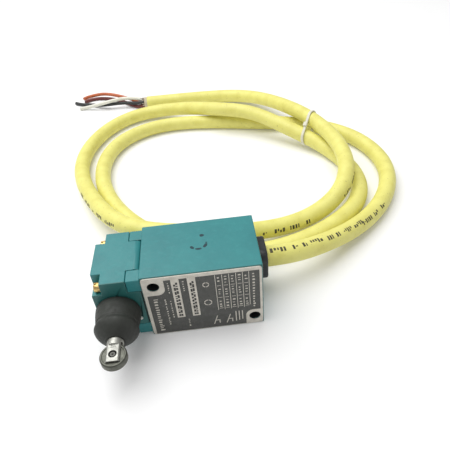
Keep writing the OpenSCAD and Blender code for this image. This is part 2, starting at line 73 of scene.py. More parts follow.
def add_camera():
    azimuth, elevation, roll = (math.radians(a) for a in CAMERA_ANGLES)
    level = math.cos(elevation)
    back = Vector((math.sin(azimuth) * level, -math.cos(azimuth) * level, math.sin(elevation)))
    right = Vector((math.cos(azimuth), math.sin(azimuth), 0))
    up = back.cross(right)
    x_axis = right * math.cos(roll) + up * math.sin(roll)
    y_axis = up * math.cos(roll) - right * math.sin(roll)
    data = bpy.data.cameras.new("camera")
    data.lens, data.sensor_width = CAMERA_LENS, CAMERA_SENSOR
    data.clip_start, data.clip_end = 0.01, 20
    camera = bpy.data.objects.new("camera", data)
    bpy.context.collection.objects.link(camera)
    camera.matrix_world = Matrix((x_axis, y_axis, back)).transposed().to_4x4()
    camera.matrix_world.translation = CAMERA_AIM + back * CAMERA_DISTANCE
    bpy.context.scene.camera = camera


add_camera()


# ---------------------------------------------------------------- mesh helpers
def add_mesh(name, verts, faces, smooth=True):
    mesh = bpy.data.meshes.new(name)
    mesh.from_pydata([tuple(v) for v in verts], [], faces)
    mesh.validate()
    for polygon in mesh.polygons:
        polygon.use_smooth = smooth
    obj = bpy.data.objects.new(name, mesh)
    bpy.context.collection.objects.link(obj)
    return obj


def b_spline(points, steps):
    """The smooth curve through a route's neighbourhood, that starts and ends at the route's ends."""
    q = [2 * points[0] - points[1]] + list(points) + [2 * points[-1] - points[-2]]
    out = []
    for k in range(steps * (len(points) - 1) + 1):
        i = min(k // steps, len(q) - 4)
        t = k / steps - i
        b = ((1 - t) ** 3, 3 * t ** 3 - 6 * t * t + 4, -3 * t ** 3 + 3 * t * t + 3 * t + 1, t ** 3)
        out.append(sum((q[i + m] * b[m] for m in range(4)), Vector((0, 0, 0))) / 6)
    return out


def frames_along(path):
    """Tangent, level sideways direction and upward direction at each point of a path."""
    out = []
    for i in range(len(path)):
        t = (path[min(i + 1, len(path) - 1)] - path[max(i - 1, 0)]).normalized()
        u = t.cross(Vector((0, 0, 1))).normalized()
        out.append((t, u, u.cross(t)))
    return out


def tube(name, path, radius, sides):
    """A closed round tube along a path; radius may be a function of the share of the way along."""
    verts, faces = [], []
    count = len(path)
    for i, (p, (t, u, v)) in enumerate(zip(path, frames_along(path))):
        r = radius(i / (count - 1)) if callable(radius) else radius
        for k in range(sides):
            a = 2 * math.pi * k / sides
            verts.append(p + r * (math.cos(a) * u + math.sin(a) * v))
    for i in range(count - 1):
        for k in range(sides):
            a, b = i * sides + k, i * sides + (k + 1) % sides
            faces.append((a, b, b + sides, a + sides))
    faces.append(tuple(range(sides - 1, -1, -1)))
    faces.append(tuple((count - 1) * sides + k for k in range(sides)))
    obj = add_mesh(name, verts, faces)
    for polygon in obj.data.polygons[-2:]:
        polygon.use_smooth = False
    return obj


def lathe(name, profile, origin, axis_x, axis_z, steps=96):
    """A closed profile of (radius, height) pairs turned about the axis through origin along axis_z."""
    axis_y = axis_z.cross(axis_x)
    verts, faces = [], []
    n = len(profile)
    for k in range(steps):
        a = 2 * math.pi * k / steps
        out = axis_x * math.cos(a) + axis_y * math.sin(a)
        verts.extend(origin + out * r * MM + axis_z * h * MM for r, h in profile)
    for k in range(steps):
        for m in range(n):
            a, b = k * n + m, k * n + (m + 1) % n
            c, d = ((k + 1) % steps) * n + (m + 1) % n, ((k + 1) % steps) * n + m
            faces.append((a, d, c, b))
    return add_mesh(name, verts, faces)


def box_into(bm, corners_low, corners_high):
    """Adds an upright box between two corners."""
    lo, hi = corners_low, corners_high
    v = [bm.verts.new((x, y, z)) for x in (lo[0], hi[0]) for y in (lo[1], hi[1]) for z in (lo[2], hi[2])]
    for f in ((0, 1, 3, 2), (4, 6, 7, 5), (0, 4, 5, 1), (2, 3, 7, 6), (0, 2, 6, 4), (1, 5, 7, 3)):
        bm.faces.new([v[i] for i in f])


def prism_into(bm, outline, lift):
    """Adds a prism on a flat outline of points, lifted by a vector."""
    low = [bm.verts.new(p) for p in outline]
    high = [bm.verts.new(p + lift) for p in outline]
    bm.faces.new(low)
    bm.faces.new(list(reversed(high)))
    for i in range(len(outline)):
        j = (i + 1) % len(outline)
        bm.faces.new((low[j], low[i], high[i], high[j]))


def finish_bmesh(bm, name, smooth=False):
    bmesh.ops.recalc_face_normals(bm, faces=bm.faces)
    mesh = bpy.data.meshes.new(name)
    bm.to_mesh(mesh)
    bm.free()
    for polygon in mesh.polygons:
        polygon.use_smooth = smooth
    obj = bpy.data.objects.new(name, mesh)
    bpy.context.collection.objects.link(obj)
    return obj


def soften(obj, width, segments=2, angle=35):
    """Rounds an object's sharp edges."""
    weld = obj.modifiers.new("weld", "WELD")
    weld.merge_threshold = 0.000002
    bevel = obj.modifiers.new("soft_edges", "BEVEL")
    bevel.width, bevel.segments = width * MM, segments
    bevel.limit_method, bevel.angle_limit = "ANGLE", math.radians(angle)
    bevel.harden_normals = True
    bevel.use_clamp_overlap = False


# ---------------------------------------------------------------- cord and conductors
FLOOR = 5.5
CORD_R = 5.5
cord_route = [
    (48, 25.5, 20.4), (66, 25.5, 20.4), (85, 31, 16), (123, 55, FLOOR), (151, 82, FLOOR),
    (166, 121, FLOOR), (155, 166, FLOOR), (120, 193, FLOOR), (78, 203, FLOOR), (41, 214, FLOOR),
    (-1, 218, FLOOR), (-35, 196, FLOOR), (-45, 154, FLOOR), (-33, 110, FLOOR), (-9, 76, FLOOR),
    (21, 53, FLOOR), (58, 41, FLOOR), (97, 52, FLOOR), (131, 76, FLOOR), (142, 111, FLOOR),
    (129, 153, FLOOR), (98, 176, 15), (78, 200, 18), (46, 207, 20), (16, 244, 7),
    (-29, 242, FLOOR), (-57, 201, FLOOR), (-61, 156, FLOOR), (-44, 110, 11), (-19, 65, 17),
    (22, 51, 20), (61, 58, 9), (95, 67, FLOOR), (123, 84, 13), (134, 117, 18),
    (129, 156, 19), (113, 192, 20), (86, 258, 6), (42, 264, FLOOR), (14, 264.8, FLOOR),
    (-12, 265.2, FLOOR),
]
CORD_STEPS = 12
cord_path = b_spline([at(*p) for p in cord_route], CORD_STEPS)
cord_jacket = tube("cord_jacket_skin", cord_path, CORD_R * MM, 32)
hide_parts("cord_jacket")
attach(cord_jacket, "housing")

CUT = (-12.1, 265.2)
CORE = 1.6
WIRE_R = 1.55
WIRE_STEPS = 8
wire_routes = {
    "orange": [
        (CUT[0], CUT[1] + CORE, FLOOR - CORE),
        (-16, 267.2, 3.8), (-21.5, 272.2, 4.3), (-29.6, 279, 5.2), (-37.1, 283.9, 5.6), (-46.1, 290.2, 6.1),
        (-56.3, 295.4, 6), (-63.1, 296.9, 5.2), (-70.1, 299.2, 3.4), (-75.7, 300.8, 1.8),
        (-78.2, 298.2, 1.6)],
    "white": [
        (CUT[0], CUT[1] + CORE, FLOOR + CORE),
        (-16, 267.2, 7.2), (-21.2, 269.6, 8.8), (-28.5, 271.5, 8.9), (-35.6, 273, 8.8), (-43.8, 271.9, 8.4),
        (-53, 270.7, 7.2), (-59.6, 271.7, 5.8), (-66.7, 274.4, 3.4), (-73.5, 276.1, 1.8), (-78.6, 276, 1.6)],
    "black": [
        (CUT[0], CUT[1] - CORE, FLOOR + CORE),
        (-16, 263.8, 7), (-21.5, 266.2, 5.4), (-29.1, 269.8, 5), (-35.9, 271.5, 4.9), (-44.7, 272.3, 4.6),
        (-54.3, 274.2, 3.4), (-61.2, 278, 2.4), (-68.1, 281.9, 1.8), (-74.6, 283.9, 1.6), (-79.3, 286, 1.6),
        (-84.6, 289.6, 1.6)],
    "red": [
        (CUT[0], CUT[1] - CORE, FLOOR - CORE),
        (-16, 263.8, 3.6), (-22, 266.2, 1.6), (-27.5, 271.6, 1.6), (-32.8, 277.6, 1.6), (-39.6, 284.7, 1.6),
        (-47.1, 290.5, 1.6), (-57.2, 294.7, 1.6), (-63.8, 295.8, 1.6), (-70, 294.9, 1.6), (-73.4, 292.4, 1.6),
        (-75.1, 289.6, 1.6)],
}
wires = {}
for colour, route in wire_routes.items():
    path = b_spline([at(*p) for p in route], WIRE_STEPS)
    wire = tube(f"wire_{colour}_skin", path, WIRE_R * MM, 20)
    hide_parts(f"wire_{colour}")
    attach(wire, "housing")
    wires[colour] = wire

# ---------------------------------------------------------------- print, tie and filler on the cord
random.seed(11)
cord_frames = frames_along(cord_path)
reach = [0.0]
for a, b in zip(cord_path, cord_path[1:]):
    reach.append(reach[-1] + (b - a).length)


def on_cord(s, angle, r):
    """The point at arc length s, at an angle from the level side, r from the centreline."""
    i = next((k for k in range(1, len(reach)) if reach[k] >= s), len(reach) - 1)
    w = (s - reach[i - 1]) / (reach[i] - reach[i - 1])
    centre = cord_path[i - 1].lerp(cord_path[i], w)
    u = cord_frames[i - 1][1].lerp(cord_frames[i][1], w).normalized()
    v = cord_frames[i - 1][2].lerp(cord_frames[i][2], w).normalized()
    return centre + r * (math.cos(angle) * u + math.sin(angle) * v)


def patch_into(verts, faces, s, angle, r, cells):
    """Adds a closed thin patch that follows the cord's surface."""
    n, m = cells
    start = len(verts)
    for k in range(2):
        for i in range(n + 1):
            for j in range(m + 1):
                along = s[0] + (s[1] - s[0]) * i / n
                round_it = angle[0] + (angle[1] - angle[0]) * j / m
                verts.append(on_cord(along, round_it, r[k]))
    layer = (n + 1) * (m + 1)

    def index(k, i, j):
        return start + k * layer + i * (m + 1) + j

    for i in range(n):
        for j in range(m):
            faces.append((index(0, i, j), index(0, i, j + 1), index(0, i + 1, j + 1), index(0, i + 1, j)))
            faces.append((index(1, i, j), index(1, i + 1, j), index(1, i + 1, j + 1), index(1, i, j + 1)))
    for i in range(n):
        for j, flip in ((0, False), (m, True)):
            f = (index(0, i, j), index(0, i + 1, j), index(1, i + 1, j), index(1, i, j))
            faces.append(f[::-1] if flip else f)
    for j in range(m):
        for i, flip in ((0, True), (n, False)):
            f = (index(0, i, j), index(0, i, j + 1), index(1, i, j + 1), index(1, i, j))
            faces.append(f[::-1] if flip else f)


# First and last route point of each run, and its angle from the level side in degrees
PRINT_RUNS = ((0.9, 2.2, 73), (2.25, 2.95, 62), (3.0, 3.6, 48), (5.0, 5.5, 22), (27.9, 28.9, 12),
              (31.15, 32.0, 18), (32.9, 33.5, 6))


PRINT_HALF = 1.3 / CORD_R
PRINT_RADII = ((CORD_R - 0.06) * MM, (CORD_R + 0.035) * MM)
PRINT_GAP = 0.65 * MM


def add_print():
    """Rows of short plain dashes along the jacket."""
    verts, faces = [], []
    for first, last, degrees in PRINT_RUNS:
        s, end = reach[int(first * CORD_STEPS)], reach[int(last * CORD_STEPS)]
        while s < end:
            for _ in range(random.randint(2, 6)):
                wide = random.uniform(0.7, 1.5) * MM
                low_part = random.choice((-1.0, -1.0, -0.2))
                high_part = random.choice((1.0, 1.0, 0.3))
                centre = math.radians(degrees)
                angles = (centre + low_part * PRINT_HALF, centre + high_part * PRINT_HALF)
                patch_into(verts, faces, (s, s + wide), angles, PRINT_RADII, (2, 4))
                s += wide + PRINT_GAP
            s += random.uniform(2.0, 4.5) * MM
    obj = add_mesh("cord_print", verts, faces)
    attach(obj, "housing")
    return obj


cord_print = add_print()

# Route points that the tie holds, and the outline of its band as (radius, offset along the cord)
TIE_UPPER, TIE_LOWER = 35.42, 20.42
TIE_REACH = 0.1
TIE_SECTION = ((5.82, -0.95), (6.0, -1.15), (6.6, -1.05), (6.75, -0.8),
               (6.75, 0.8), (6.6, 1.05), (6.0, 1.15), (5.82, 0.95))
TIE_HEAD = (3.4 * MM, 2 * MM, 3.2 * MM)
TIE_HEAD_OUT = 6.9


def route_at(index):
    """The point of the cord's path at a share of the way between two route points."""
    k = index * CORD_STEPS
    i = int(k)
    return cord_path[i].lerp(cord_path[i + 1], k - i)


def add_tie():
    """A band round the two crossing strands, with its small head."""
    upper, lower = route_at(TIE_UPPER), route_at(TIE_LOWER)
    u = (upper - lower).normalized()
    run = (route_at(TIE_UPPER + TIE_REACH) - route_at(TIE_UPPER - TIE_REACH)
           + route_at(TIE_LOWER + TIE_REACH) - route_at(TIE_LOWER - TIE_REACH))
    axis = (run - run.dot(u) * u).normalized()
    v = axis.cross(u)
    steps, n = 72, len(TIE_SECTION)
    verts, faces = [], []
    for k in range(steps):
        a = 2 * math.pi * (k + 0.5) / steps
        centre = upper if math.cos(a) >= 0 else lower
        for r, s in TIE_SECTION:
            verts.append(centre + (r * (math.cos(a) * u + math.sin(a) * v) + s * axis) * MM)
    for k in range(steps):
        for m in range(n):
            a, b = k * n + m, k * n + (m + 1) % n
            faces.append((a, b, (b + n) % (steps * n), (a + n) % (steps * n)))
    obj = add_mesh("tie_band", verts, faces)
    bm = bmesh.new()
    bm.from_mesh(obj.data)
    head = bmesh.ops.create_cube(bm, size=1)["verts"]
    middle = (upper + lower) / 2 - v * TIE_HEAD_OUT * MM
    spin = Matrix((u, v, axis)).transposed().to_4x4()
    place = Matrix.Translation(middle) @ spin @ Matrix.Diagonal((*TIE_HEAD, 1))
    bmesh.ops.transform(bm, matrix=place, verts=head)
    edges = list({e for w in head for e in w.link_edges})
    bmesh.ops.bevel(bm, geom=edges, offset=0.35 * MM, segments=2, affect="EDGES")
    bmesh.ops.recalc_face_normals(bm, faces=bm.faces)
    bm.to_mesh(obj.data)
    bm.free()
    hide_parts("cable_tie")
    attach(obj, "housing")
    return obj


cable_tie = add_tie()


def add_fibres(name, count, radius, spread):
    """Loose filler strands that stand out of the jacket's cut end."""
    bm = bmesh.new()
    for _ in range(count):
        a = random.uniform(0, 2 * math.pi)
        r = random.uniform(3.3, 4.7)
        reach_out = random.uniform(2.5, spread)
        flare = random.uniform(-0.6, 1.0)
        start = (CUT[0] + 0.1, CUT[1] + r * math.cos(a), FLOOR + r * math.sin(a))
        bend = (CUT[0] - reach_out * 0.5, start[1] + 0.2 * flare, start[2] + random.uniform(-0.3, 0.3))
        wide, turn = r + flare, a + flare * 0.4
        tip = (CUT[0] - reach_out, CUT[1] + wide * math.cos(turn), max(0.6, FLOOR + wide * math.sin(turn)))
        path = b_spline([at(*start), at(*bend), at(*tip)], 4)
        strand = tube("strand", path, lambda t: radius * (1.15 - 0.6 * t) * MM, 6)
        bm.from_mesh(strand.data)
        mesh = strand.data
        bpy.data.objects.remove(strand)
        bpy.data.meshes.remove(mesh)
    obj = finish_bmesh(bm, name, smooth=True)
    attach(obj, "housing")
    return obj


filler_paper = add_fibres("filler_paper", 22, 0.32, 5.0)
filler_jute = add_fibres("filler_jute", 16, 0.2, 6.5)

# ---------------------------------------------------------------- boot, pin ends and marks
ALONG_X, ALONG_Y, ALONG_Z = Vector((1, 0, 0)), Vector((0, 1, 0)), Vector((0, 0, 1))
PLUNGER_X, MID_Z = -13.1, BODY_H / 2
HEAD_FRONT, LIP = 0.4, -17.4


def smooth_profile(points, steps):
    """Interpolates a profile's points smoothly, through each of them."""
    out = []
    for i in range(len(points) - 1):
        p = [points[max(i - 1, 0)], points[i], points[i + 1], points[min(i + 2, len(points) - 1)]]
        for k in range(steps):
            t = k / steps
            out.append(tuple(0.5 * (2 * p[1][c] + (p[2][c] - p[0][c]) * t
                       + (2 * p[0][c] - 5 * p[1][c] + 4 * p[2][c] - p[3][c]) * t * t
                       + (3 * p[1][c] - p[0][c] - 3 * p[2][c] + p[3][c]) * t ** 3) for c in (0, 1)))
    return out + [points[-1]]


def add_boot():
    """The bellows, turned about the plunger's axis, with its nose round the plunger and its lip on the neck.
    """
    outside = smooth_profile([
        (10.35, HEAD_FRONT), (10.6, -0.1), (10.7, -1.0), (10.6, -3.2), (10.3, -5.6), (10.05, -7.4),
        (9.95, -8.3), (9.75, -8.75), (9.65, -9.2), (9.9, -10.0), (10.25, -11.0), (10.0, -12.2),
        (8.95, -13.8), (7.65, -15.1), (6.25, -16.2), (5.0, -17.05), (4.55, LIP), (4.1, LIP - 0.05)], 5)
    inside = [(3.9, LIP + 0.05), (3.87, -15.9), (5.8, -14.8), (7.4, -13.4), (8.4, -12), (8.6, -10.8),
              (8.4, -9.2), (8.65, -8), (8.65, -3.3), (7.9, -3.3), (7.9, -1.7), (8.65, -1.7),
              (8.65, HEAD_FRONT)]
    obj = lathe("boot_skin", outside + inside, at(PLUNGER_X, 0, MID_Z), ALONG_X, ALONG_Y)
    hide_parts("boot")
    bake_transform(obj)
    return obj


boot = add_boot()

RING_SIDES = 10


def add_coil(name, start, along, radius, wire, length, turns):
    """A coil spring from start along a direction; both end faces are closed."""
    across = ALONG_Z
    side = along.cross(across)
    steps = round(24 * turns)
    verts, faces = [], []
    for i in range(steps + 1):
        turn = 2 * math.pi * turns * i / steps
        out = across * math.cos(turn) + side * math.sin(turn)
        centre = start + (out * radius + along * (wire + (length - 2 * wire) * i / steps)) * MM
        for k in range(RING_SIDES):
            a = 2 * math.pi * k / RING_SIDES
            verts.append(centre + (out * math.cos(a) + along * math.sin(a)) * wire * MM)
    for i in range(steps):
        for k in range(RING_SIDES):
            a, b = i * RING_SIDES + k, i * RING_SIDES + (k + 1) % RING_SIDES
            faces.append((a, b, b + RING_SIDES, a + RING_SIDES))
    faces.append(tuple(range(RING_SIDES - 1, -1, -1)))
    faces.append(tuple(steps * RING_SIDES + k for k in range(RING_SIDES)))
    bm = bmesh.new()
    rough = add_mesh("coil", verts, faces)
    mesh = rough.data
    bm.from_mesh(mesh)
    bpy.data.objects.remove(rough)
    bpy.data.meshes.remove(mesh)
    obj = finish_bmesh(bm, name, smooth=True)
    return obj


# Both springs run from a fixed end towards the piece that presses them
spring_start, spring_end = at(PLUNGER_X, 22.1, MID_Z), at(PLUNGER_X, 33.2, MID_Z)
return_coil = add_coil("return_spring_coil", spring_start, ALONG_Y, 3.9, 0.4, 11.1, 5)
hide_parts("return_spring")
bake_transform(return_coil)

contact_start, contact_end = at(20.1, BODY_D / 2, MID_Z), at(30.3, BODY_D / 2, MID_Z)
contact_coil = add_coil("contact_spring_coil", contact_start, ALONG_X, 2.2, 0.3, 10.2, 7.5)
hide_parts("contact_spring")
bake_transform(contact_coil)


ROLLER_Y = -25.3


def add_pin_ends():
    """The roller's pin, dimpled at both ends."""
    half = 2.66
    end = [(0, half - 0.3), (0.3, half - 0.26), (0.48, half - 0.02), (0.6, half), (1.1, half - 0.02),
           (1.3, half - 0.1), (1.38, half - 0.3)]
    profile = [(r, h) for r, h in end] + [(r, -h) for r, h in reversed(end)]
    profile[0] = (0.001, profile[0][1])
    profile[-1] = (0.001, profile[-1][1])
    obj = lathe("roller_pin_riveted", profile, at(PLUNGER_X, ROLLER_Y, MID_Z), ALONG_X, ALONG_Z, 40)
    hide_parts("roller_pin")
    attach(obj, "plunger")
    return obj


pin_ends = add_pin_ends()


def flat_box(bm, x, y, z):
    """A thin box between ranges given in the body's own frame in millimetres."""
    box_into(bm, at(x[0], y[0], z[0]), at(x[1], y[1], z[1]))


def add_fork_mark():
    """A thin dark box on each flat of the fork: painted shade of a short notch."""
    bm = bmesh.new()
    flat = 2.9
    for side in (-1, 1):
        z = MID_Z + side * flat
        flat_box(bm, (PLUNGER_X - 1.1, PLUNGER_X + 1.1), (-22.1, -21.85), (z - 0.04, z + 0.015))
    obj = finish_bmesh(bm, "fork_mark")
    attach(obj, "plunger")
    return obj


fork_mark = add_fork_mark()


ARC_CENTRE, ARC_R = (27.9, 19.2), 4.0
# First and last angle in degrees, and the width, of each stroke of the arc
ARC_STROKES = ((-156, -122, 1.6), (-112, -68, 1.35), (-52, -10, 1.7), (-7, 6, 0.9))
SPOT_CENTRE = (29.9, 24.7)
SCUFF_Z = BODY_H - 0.03


def stroke_edge(stroke, k, steps, side):
    """A point on one edge of a stroke that tapers to its ends; side is 1 outside and -1 inside."""
    first, last, wide = stroke
    a = math.radians(first + (last - first) * k / steps)
    w = wide * (0.35 + 0.65 * math.sin(math.pi * (k + 0.6) / (steps + 1.2)))
    r = ARC_R + side * w / 2
    return at(ARC_CENTRE[0] + r * math.cos(a), ARC_CENTRE[1] + r * math.sin(a), SCUFF_Z)


def spot_edge(t):
    """A point on the uneven outline of the spot."""
    across = 1.15 * math.cos(t) * (1 + 0.2 * math.cos(3 * t))
    return at(SPOT_CENTRE[0] + across, SPOT_CENTRE[1] + math.sin(t), SCUFF_Z)


def add_scuffs():
    """Dark paint marks on the upper side: a broken arc and a spot."""
    bm = bmesh.new()
    lift = Vector((0, 0, 0.045 * MM))
    steps = 6
    for stroke in ARC_STROKES:
        outline = [stroke_edge(stroke, k, steps, 1) for k in range(steps + 1)]
        outline += [stroke_edge(stroke, k, steps, -1) for k in range(steps, -1, -1)]
        prism_into(bm, outline, lift)
    spot = [spot_edge(2 * math.pi * k / 14) for k in range(14)]
    prism_into(bm, spot, lift)
    obj = finish_bmesh(bm, "paint_scuffs")
    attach(obj, "housing")
    return obj


scuffs = add_scuffs()

# ---------------------------------------------------------------- nameplate print
PLATE_Y = -0.5
INK = 0.03


def add_label_field():
    """The dark printed field, cut back round the two mounting holes."""
    x0, x1, z0, z1 = 2.0, 54.7, 0.85, 38.3
    lobe_a, lobe_b, corner = (10.7, 29.0), (47.4, 10.9), 3.6
    points = [(x0, z0), (lobe_b[0], z0)]
    points += [(lobe_b[0] + corner - corner * math.cos(a), lobe_b[1] - corner + corner * math.sin(a))
               for a in (math.pi / 2 * k / 8 for k in range(9))]
    points += [(x1, lobe_b[1]), (x1, z1), (lobe_a[0], z1)]
    points += [(lobe_a[0] - corner + corner * math.cos(a), lobe_a[1] + corner - corner * math.sin(a))
               for a in (math.pi / 2 * k / 8 for k in range(9))]
    points += [(x0, lobe_a[1])]
    bm = bmesh.new()
    prism_into(bm, [at(x, PLATE_Y + 0.01, z) for x, z in points], Vector((0, -(INK + 0.01) * MM, 0)))
    obj = finish_bmesh(bm, "label_field")
    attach(obj, "housing")
    return obj


label_field = add_label_field()


def label_box(bm, x, z, layer=1):
    top = PLATE_Y - INK - 0.015 * layer
    flat_box(bm, x, (top, PLATE_Y - INK + 0.01), z)


PANELS = ((13.9, 17.7), (21.4, 25.2))
PANEL_Z = (11.5, 38.6)


def add_label_panels():
    bm = bmesh.new()
    for x in PANELS:
        label_box(bm, x, PANEL_Z)
    obj = finish_bmesh(bm, "label_panels")
    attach(obj, "housing")
    return obj


label_panels = add_label_panels()


def add_panel_bars():
    """Plain dark bars on the two bright panels."""
    bm = bmesh.new()
    for low, high in PANELS:
        for x in (low + 0.9, low + 1.95):
            z = 12.4
            while z < 35.6:
                tall = random.uniform(0.6, 2.4)
                label_box(bm, (x, x + 0.95), (z, z + tall), layer=2)
                z += tall + random.uniform(0.5, 0.9)
    obj = finish_bmesh(bm, "label_bars")
    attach(obj, "housing")
    return obj


label_bars = add_panel_bars()

LINE = 0.26
STROKE = 0.45
MARK_LIFT = Vector((0, -0.025 * MM, 0))
# x, lowest z, highest z and width of each column of dashes beside the table
DASH_COLUMNS = (
    (51.3, 13.2, 36.5, 1.15), (4.4, 3.0, 27.0, 2.1), (9.4, 7.0, 26.0, 0.8), (11.9, 12.0, 24.0, 0.6),
    (18.9, 4.0, 9.0, 0.7), (19.1, 30.0, 37.0, 0.7), (12.2, 29.5, 36.5, 0.6))


def arc_into(bm, x, z, r, steps=28):
    """Adds a broken ring of short pieces on the label."""
    for k in range(steps):
        if k % 7 == 6:
            continue
        a, b = 2 * math.pi * k / steps, 2 * math.pi * (k + 1) / steps
        outline = [at(x + q * math.cos(t), PLATE_Y - INK + 0.01, z + q * math.sin(t))
                   for q, t in ((r, a), (r, b), (r + STROKE, b), (r + STROKE, a))]
        prism_into(bm, outline, MARK_LIFT)


def add_label_marks():
    """Thin lines of a plain table, rows of dashes and two switch symbols."""
    bm = bmesh.new()
    columns = (34.0, 37.2, 40.4, 43.6, 46.7, 49.6)
    for i, x in enumerate(columns):
        label_box(bm, (x, x + LINE), (13.6 if i < 5 else 15.0, 38.0))
    for z in (30.6, 22.4, 14.6):
        for x in columns[:-1]:
            label_box(bm, (x + 0.7, x + 2.6), (z, z + LINE))
    for x in columns[:-1]:
        z = 15.8
        while z < 37:
            tall = random.uniform(0.5, 1.4)
            if abs(z - 22.4) > 1.4 and abs(z - 30.6) > 1.4:
                label_box(bm, (x + 1.1, x + 1.1 + random.uniform(0.7, 1.3)), (z, z + tall * 0.6))
            z += tall + random.uniform(0.4, 1.3)
    for x, z0, z1, wide in DASH_COLUMNS:
        z = z0
        while z < z1:
            tall = random.uniform(0.6, 1.5)
            label_box(bm, (x, x + wide * random.uniform(0.6, 1)), (z, z + tall * 0.7))
            z += tall + random.uniform(0.35, 0.9)
    for x, z in ((31.0, 3.2), (37.4, 3.2)):
        slant = [at(a, PLATE_Y - INK + 0.01, b)
                 for a, b in ((x, z), (x + STROKE, z), (x + 2.0 + STROKE, z + 6.2), (x + 2.0, z + 6.2))]
        prism_into(bm, slant, MARK_LIFT)
        label_box(bm, (x + 0.9, x + 3.4), (z + 2.6, z + 2.6 + STROKE))
        label_box(bm, (x + 2.9, x + 2.9 + STROKE), (z + 0.4, z + 2.6))
    for k, x in enumerate((42.2, 43.8, 45.4)):
        label_box(bm, (x, x + STROKE), (3.6 + 0.5 * k, 11.2))
    for z, r in ((32.4, 1.15), (20.0, 1.5)):
        arc_into(bm, 29.6, z, r)
    obj = finish_bmesh(bm, "label_marks")
    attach(obj, "housing")
    return obj


label_marks = add_label_marks()

# Softened edges on the CAD parts
for name, width in (("body_housing", 0.45), ("head_housing", 0.35), ("gland", 0.7), ("plunger", 0.22),
                    ("head_screws", 0.2), ("nameplate", 0.1), ("lock_pin", 0.2)):
    soften(nodes[name], width)

# ---------------------------------------------------------------- stage
LIGHT_PLACE, LIGHT_AIM = Vector((-0.3, 0.3, 1.1)), at(50, 90, 0)
LIGHT_SIZE, LIGHT_POWER = 1.3, 17.5


def add_stage():
    """The pale floor, an even surround and one large soft light."""
    floor = add_mesh("floor", [(-4, -4, 0), (4, -4, 0), (4, 4, 0), (-4, 4, 0)], [(0, 1, 2, 3)], smooth=False)
    world = bpy.data.worlds.new("studio")
    bpy.context.scene.world = world
    world.use_nodes = True
    background = world.node_tree.nodes["Background"]
    background.inputs["Color"].default_value = (1, 1, 1, 1)
    background.inputs["Strength"].default_value = 0.4
    data = bpy.data.lights.new("key_light", "AREA")
    data.shape, data.size, data.energy = "SQUARE", LIGHT_SIZE, LIGHT_POWER
    light = bpy.data.objects.new("key_light", data)
    bpy.context.collection.objects.link(light)
    light.location = LIGHT_PLACE
    light.rotation_euler = (LIGHT_AIM - LIGHT_PLACE).to_track_quat("-Z", "Y").to_euler()
    bpy.context.scene.view_settings.view_transform = "Standard"
    return floor


floor = add_stage()


